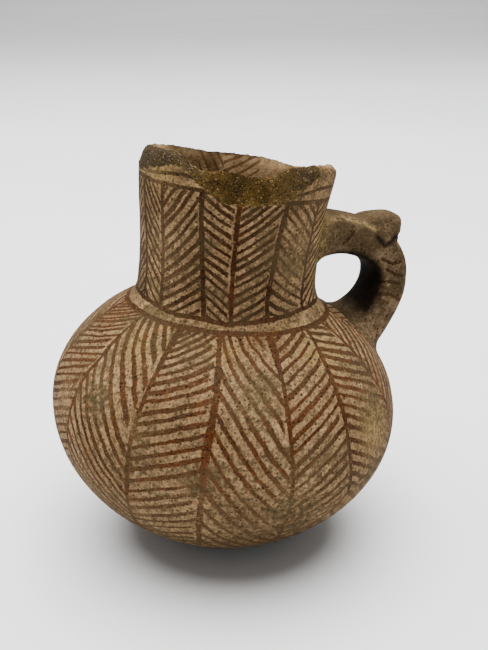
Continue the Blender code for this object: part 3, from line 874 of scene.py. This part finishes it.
def pottery():
    """Slip, brush strokes, the broken face and the dirt, all in one clay."""
    material, shader, t, where = new_material("painted_pottery")
    phase, half_width, panel = t.numbers("strokes")
    left, right, ring = t.numbers("stems")
    edge, inside, height = t.numbers("place")
    red, yellow, green = t.numbers("stains")
    bar, grit_highlight_and_crease_shade, soot_and_shade = t.numbers("marks")
    worn = t.numbers("wear")[0]
    across = t.split(where)[0]

    broad = t.noise(where, 22, 4, 0.6)
    middling = t.noise(where, 75, 5, 0.65)
    fine = t.noise(where, 420, 4, 0.7)
    finest = t.noise(where, 1300, 3, 0.65)
    wobble = t.noise(where, 105, 2, 0.5) - 0.5
    shake = t.noise(where, 620, 3, 0.6) - 0.5
    patches = t.noise(where, 46, 5, 0.7)

    # The slip under the paint, and the handle's own tone.
    on_handle = t.ramp(inside, -0.2, -0.9)
    handle_tone = t.layers(
        HANDLE_DARK,
        (t.ramp(middling, 0.38, 0.64), HANDLE_LIGHT),
        (t.ramp(fine, 0.45, 0.68) * 0.6, HANDLE_DARK),
        (t.ramp(height, 157, 163) * 0.78, HANDLE_TOP),
        (t.ramp(height, 143, 151) * t.ramp(across, 0.078, 0.064, 0, 0.5), HANDLE_TOP),
    )
    slip = t.layers(
        SLIP_DULL,
        (t.ramp(broad, 0.35, 0.68), SLIP_LIGHT),
        (t.ramp(middling, 0.48, 0.7) * 0.55, SLIP_WORN),
        (t.ramp(fine, 0.46, 0.66) * 0.6, SLIP_GRAIN),
        (t.ramp(finest, 0.5, 0.66) * 0.5, SLIP_DARK_GRAIN),
        (t.clamped(yellow * 0.75), SLIP_YELLOW),
        (t.ramp(height, 125, 138) * t.ramp(across, -0.042, -0.022, 0, 0.22), SLIP_WORN),
        (on_handle * (0.97 - yellow * 0.7), handle_tone),
    )

    # The brush strokes, each with its own place, width and reach.
    wavy = wobble * 0.4
    ragged = shake * 0.26
    number = t.math("ROUND", phase + wavy)
    seed = t.node("ShaderNodeCombineXYZ", {"X": number, "Y": panel, "Z": 0.37})
    luck = t.split(t.node("ShaderNodeTexWhiteNoise", {"Vector": seed}, noise_dimensions="3D").outputs["Color"])
    tilt = (luck[2] - 0.5) * ((right - left) * 0.008)
    off = abs(phase + wavy - number + (luck[0] - 0.5) * 0.2 + tilt) + ragged
    reach = half_width * (0.72 + luck[1] * 0.56)
    stroke = t.ramp(off, reach + STROKE_SOFTNESS, reach - STROKE_SOFTNESS) * t.ramp(half_width, 0, 0.02)
    for from_stem, stops in ((right, luck[2] * 3.4 - 0.6), (left, luck[0] * 1.6 - 0.7)):
        stroke = stroke * t.ramp(from_stem + ragged * 4, stops, 0.5 + stops)

    # The stems, the rings and the handle's bars.
    stem_off = t.math("MINIMUM", abs(left), abs(right)) + wobble * 1.5 + shake
    stem = t.ramp(stem_off, 1.1, 0.9) * t.ramp(inside, -0.5, -0.1)
    ringed = t.ramp(abs(ring + wobble * 1.5) + shake, 1.12, 0.88)
    barred = t.ramp(bar + shake, 1, 0.6)
    paint = t.math("MAXIMUM", t.math("MAXIMUM", stroke, stem), t.math("MAXIMUM", ringed, barred))
    paint = paint * t.math("MAXIMUM", t.ramp(height, 17, 26), t.ramp(inside, 0.3, 0.6))

    # Where the paint is rubbed thin or flaked off in pinholes.
    rubbed = t.ramp(patches * 0.6 + fine * 0.5, 0.52, 0.66)
    pinholes = t.ramp(t.noise(where, 1000, 3, 0.7), 0.53, 0.62)
    low_wear = t.ramp(height, 95, 45, 0.25, 1)
    strength = 1 - rubbed * low_wear * 0.4 - pinholes * (low_wear * 0.38) - luck[1] * 0.06
    strength = strength - green * t.ramp(patches, 0.35, 0.6, 0.15, 0.6)
    strength = strength - worn * t.ramp(fine, 0.35, 0.6, 0.6, 1) - on_handle * 0.15
    paint = t.clamped(paint * strength)
    reddish = t.clamped(red * t.ramp(patches, 0.42, 0.62, 0, 0.8))
    brown = t.layers(
        PAINT_DARK,
        (t.ramp(middling, 0.35, 0.65), PAINT_LIGHT),
        (t.ramp(height, 82, 104, 0, 0.45), PAINT_DULL),
        (t.ramp(height, 118, 128, 0, 0.85), PAINT_NECK),
        (t.math("MAXIMUM", reddish, t.ramp(broad + luck[0] * 0.12, 0.62, 0.76) * 0.22), PAINT_RED),
    )

    # Specks, green-grey dirt, patches of old soil, and soil low on the body that is also painted shade there.
    dots = t.cells(where, 520)
    speck = t.ramp(dots.outputs["Distance"], 0.36, 0.18) * t.ramp(t.split(dots.outputs["Color"])[0], 0.45, 0.65)
    sandy = t.ramp(t.noise(where, 850, 4, 0.75), 0.38, 0.62, 1.24, 0.6)
    dirt = t.clamped(green * t.ramp(fine * 0.5 + patches * 0.5, 0.42, 0.58))
    # Painted shade low on the body, lighter on the side away from the handle.
    shade_and_joint_darkening = t.ramp(height, 76, 44) * t.ramp(across, -0.05, -0.015, 0, 0.2)
    chalk = t.ramp(t.noise(where, 1150, 2, 0.5), 0.66, 0.72)
    body = t.layers(slip, (paint, brown), (speck * 0.8, SPECK), (chalk * 0.4, CHALK))
    body = t.layers(
        t.mix(1, body, sandy, "MULTIPLY"),
        (dirt * 0.75, GREEN_SOIL),
        (t.ramp(patches + fine * 0.5, 0.69, 0.88) * 0.6, SOIL_AND_SHADE),
        (t.ramp(height, 66, 15) * t.ramp(fine, 0.35, 0.6, 0.35, 0.75), SOIL_AND_SHADE),
    )

    # Inside the pot, bare, with painted shade that deepens away from the rim.
    bare = t.layers(
        SLIP_LIGHT,
        (t.ramp(middling, 0.35, 0.7), SLIP_WORN),
        (t.ramp(fine, 0.46, 0.66) * 0.4, SLIP_GRAIN),
        (paint * t.ramp(inside, 0.3, 0.6, 0, 0.8), PAINT_LIGHT),
        (t.ramp(edge, 1, 28, 0.24, 1) * 0.8, SOIL_AND_SHADE),
    )

    # The broken face, with its grit.
    ragged_edge = edge + (t.noise(where, 330, 3, 0.6) - 0.5) * 3
    broken = t.ramp(ragged_edge, 0.25, -0.25) * (1 - on_handle)
    grain = t.cells(where, 2000)
    grain_tone = t.split(grain.outputs["Color"])
    fabric = t.layers(
        FABRIC_DARK,
        (t.ramp(patches, 0.38, 0.62), FABRIC_LIGHT),
        (t.clamped(grit_highlight_and_crease_shade * 0.7), FABRIC_GREY),
        (t.ramp(grain_tone[0], 0.6, 0.95) * 0.8, FABRIC_BLACK),
        (t.ramp(grain_tone[1], 0.93, 0.98) * (0.38 + grit_highlight_and_crease_shade * 0.25), CHALK),
        (t.ramp(fine, 0.5, 0.7) * 0.3, FABRIC_WARM),
    )

    # Painted shade low on the body. On the handle, a number above 0 is a painted highlight along its ridge and one
    # below 0 painted shade in its crease. Then the bare inside, the broken face, and soot with painted shade on the
    # handle's inner face and the back rim's break.
    body = t.layers(
        t.mix(1, body, 1 - shade_and_joint_darkening, "MULTIPLY"),
        (t.clamped(grit_highlight_and_crease_shade * on_handle) * t.ramp(fine, 0.42, 0.56), CHALK),
        (t.clamped(grit_highlight_and_crease_shade * -0.85) * on_handle, SOOT_AND_SHADE),
        (t.ramp(inside, 0.1, 0.6), bare),
        (broken, fabric),
        (t.clamped(soot_and_shade * 0.93), SOOT_AND_SHADE),
    )
    t.put(shader.inputs["Base Color"], body)
    t.put(shader.inputs["Roughness"], 0.7 + fine * 0.25 - paint * 0.08)
    shader.inputs["Specular IOR Level"].default_value = 0.03

    crumbs = (grain.outputs["Distance"] + fine) * -0.5
    relief = middling * 0.45 + fine * 0.42 + finest * 0.14 - speck * 0.14 + broken * crumbs
    bump = t.node("ShaderNodeBump", {"Strength": 0.8, "Distance": 0.0014, "Height": relief})
    t.put(shader.inputs["Normal"], bump)
    return material


def grit_material():
    material, shader, t, where = new_material("grit")
    patch = t.noise(where, 600, 2, 0.6)
    base = t.mix(t.ramp(patch, 0.35, 0.60), FABRIC_DARK, FABRIC_GREY)
    pale = t.ramp(t.noise(where, 350, 1, 0.5), 0.62, 0.70)
    base = t.mix(pale * 0.28, base, CHALK)
    t.put(shader.inputs["Base Color"], base)
    t.put(shader.inputs["Roughness"], t.ramp(patch, 0.2, 0.8, 0.6, 0.95))
    bump = t.node("ShaderNodeBump", {"Strength": 0.5, "Distance": 0.0004, "Height": t.noise(where, 2500)})
    t.put(shader.inputs["Normal"], bump)
    return material


def geometry_tree(name, inputs):
    """A new tree with its named inputs: (name, value, least, most)."""
    tree = bpy.data.node_groups.new(name, "GeometryNodeTree")
    for way in ("INPUT", "OUTPUT"):
        tree.interface.new_socket("Geometry", in_out=way, socket_type="NodeSocketGeometry")
    for label, value, least, most in inputs:
        kind = "NodeSocketInt" if isinstance(value, int) else "NodeSocketFloat"
        made = tree.interface.new_socket(label, in_out="INPUT", socket_type=kind)
        made.default_value, made.min_value, made.max_value = value, least, most
    t = Tree(tree)
    return tree, t, t.node("NodeGroupInput").outputs


def end_tree(t, geometry, material):
    real = t.node("GeometryNodeRealizeInstances", {"Geometry": geometry})
    clad = t.node("GeometryNodeSetMaterial", {"Geometry": real, "Material": material})
    t.put(t.node("NodeGroupOutput").inputs[0], clad)


def hand_formed_tree(material):
    """Presses a surface slightly in and out along its normals, as hands and scrapers leave clay."""
    tree, t, given = geometry_tree("hand_formed", [
        ("Dent depth", 0.0005, 0.0, 0.002),
        ("Dents per metre", 26.0, 1.0, 400.0),
        ("Grain depth", 0.00012, 0.0, 0.001),
        ("Grains per metre", 320.0, 1.0, 2000.0),
        ("Broken depth", 0.0008, 0.0, 0.004),
        ("Seed", 3.0, 0.0, 100.0),
    ])
    where = t.node("GeometryNodeInputPosition").outputs[0]
    normal = t.node("GeometryNodeInputNormal")
    shift = t.node("ShaderNodeCombineXYZ", {"X": given["Seed"], "Y": 1.7, "Z": 0.4})
    apart = t.node("ShaderNodeVectorMath", {0: where, 1: shift}, operation="ADD")
    dents = t.noise(apart, given["Dents per metre"], 2.0, 0.5)
    grains = t.noise(apart, given["Grains per metre"], 3.0, 0.6)
    broken = t.ramp(t.mesh_numbers("place")[0], 0.2, -0.6)
    crumbs = broken * given["Broken depth"] * grains
    inward = dents * dents * given["Dent depth"] + grains * given["Grain depth"]
    inward = (inward + crumbs) * -1.0
    move = t.node("ShaderNodeVectorMath", {0: normal, "Scale": inward}, operation="SCALE")
    above_flat = t.math("GREATER_THAN", t.split(where)[2], 0.00005)
    moved = {"Geometry": given["Geometry"], "Selection": above_flat, "Offset": move}
    end_tree(t, t.node("GeometryNodeSetPosition", moved), material)
    return tree


def grit_tree(material):
    """Scatters small angular grains over the broken face of a mesh."""
    tree, t, given = geometry_tree("grit_on_break", [
        ("Grains per square metre", 900000.0, 0.0, 5000000.0),
        ("Grain size", 0.0011, 0.0002, 0.003),
        ("Seed", 7, 0, 1000),
    ])
    on_break = t.math("LESS_THAN", t.mesh_numbers("place")[0], -0.5)
    density = t.mesh_numbers("marks")[1] * given["Grains per square metre"]
    points = t.node("GeometryNodeDistributePointsOnFaces", {
        "Mesh": given["Geometry"], "Selection": on_break, "Density": density, "Seed": given["Seed"],
    })
    stone = t.node("GeometryNodeMeshIcoSphere", {"Radius": 0.5, "Subdivisions": 1})
    turns = {"Min": (0.0, 0.0, 0.0), "Max": (6.28, 6.28, 6.28), "Seed": given["Seed"]}
    sizes = {"Min": (0.35, 0.3, 0.25), "Max": (1.2, 1.0, 0.8), "Seed": 11}
    turn, size = (t.node("FunctionNodeRandomValue", r, data_type="FLOAT_VECTOR") for r in (turns, sizes))
    scaled = t.node("ShaderNodeVectorMath", {0: size, "Scale": given["Grain size"]}, operation="SCALE")
    placed = {"Points": points, "Instance": stone, "Rotation": turn, "Scale": scaled}
    end_tree(t, t.node("GeometryNodeInstanceOnPoints", placed), material)
    return tree


def through(made, tree, name, values):
    """The object's mesh as a geometry tree leaves it, with the tree's named inputs set."""
    modifier = made.modifiers.new(name, "NODES")
    modifier.node_group = tree
    sockets = {s.name: s.identifier for s in tree.interface.items_tree if getattr(s, "in_out", "") == "INPUT"}
    for socket, value in values.items():
        modifier[sockets[socket]] = value
    return plain_mesh(made, name)


def floor():
    bpy.ops.mesh.primitive_plane_add(size=60.0)
    made = bpy.context.object
    made.name = "floor"
    material, shader, t, where = new_material("pale_floor")
    tone = t.mix(t.ramp(t.noise(where, 3.0), 0.35, 0.65), FLOOR_DULL, FLOOR_LIGHT)
    t.put(shader.inputs["Base Color"], tone)
    shader.inputs["Roughness"].default_value = 0.75
    made.data.materials.append(material)
    return made


def area_light(name, place, aim, size, power):
    light = bpy.data.lights.new(name, "AREA")
    light.shape = "DISK"
    light.size = size
    light.energy = power
    made = add_object(name, light)
    made.location = place
    made.rotation_euler = (Vector(aim) - Vector(place)).to_track_quat("-Z", "Y").to_euler()


def studio():
    world = bpy.data.worlds.new("studio")
    bpy.context.scene.world = world
    world.use_nodes = True
    back = world.node_tree.nodes["Background"]
    back.inputs["Color"].default_value = (0.86, 0.87, 0.88, 1.0)
    back.inputs["Strength"].default_value = 0.40
    area_light("overhead", (-0.02, 0.20, 1.90), (0.0, 0.0, 0.05), 2.8, 176.0)
    area_light("far_floor", (1.8, 5.0, 3.2), (1.8, 5.0, 0.0), 4.0, 105.0)


def camera(shift):
    """The photo's camera, whose place was found for the pot before it was set down."""
    data = bpy.data.cameras.new("camera")
    data.sensor_width = SENSOR
    data.lens = SENSOR * FOCAL_PIXELS / PHOTO_PIXELS
    data.clip_start = 0.01
    made = add_object("camera", data)
    forward = Vector(CAMERA_AIM).normalized()
    across = forward.cross(Vector((0.0, 0.0, 1.0))).normalized()
    turn = Matrix((across, across.cross(forward), -forward)).transposed()
    made.matrix_world = Matrix.Translation(Vector(CAMERA_PLACE) + Vector(shift)) @ turn.to_4x4()
    bpy.context.scene.camera = made


clay = pottery()
body, set_down = pot()
strap = handle(set_down)
pressed = hand_formed_tree(clay)
depths = {"Dent depth": 0.0009, "Broken depth": 0.0010}
pot_piece = add_object("pot", through(body, pressed, "pot", depths))
handle_piece = add_object("handle", through(strap, pressed, "handle", depths))
grain_source = add_object("break_for_grit", pot_piece.data.copy())
grains = {"Grain size": 0.00062, "Grains per square metre": 2200000.0}
grit_piece = add_object("grit", through(grain_source, grit_tree(grit_material()), "grit", grains))
for piece in (pot_piece, handle_piece, grit_piece):
    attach(piece, "root")
    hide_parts("jug")

floor()
studio()
camera(set_down)
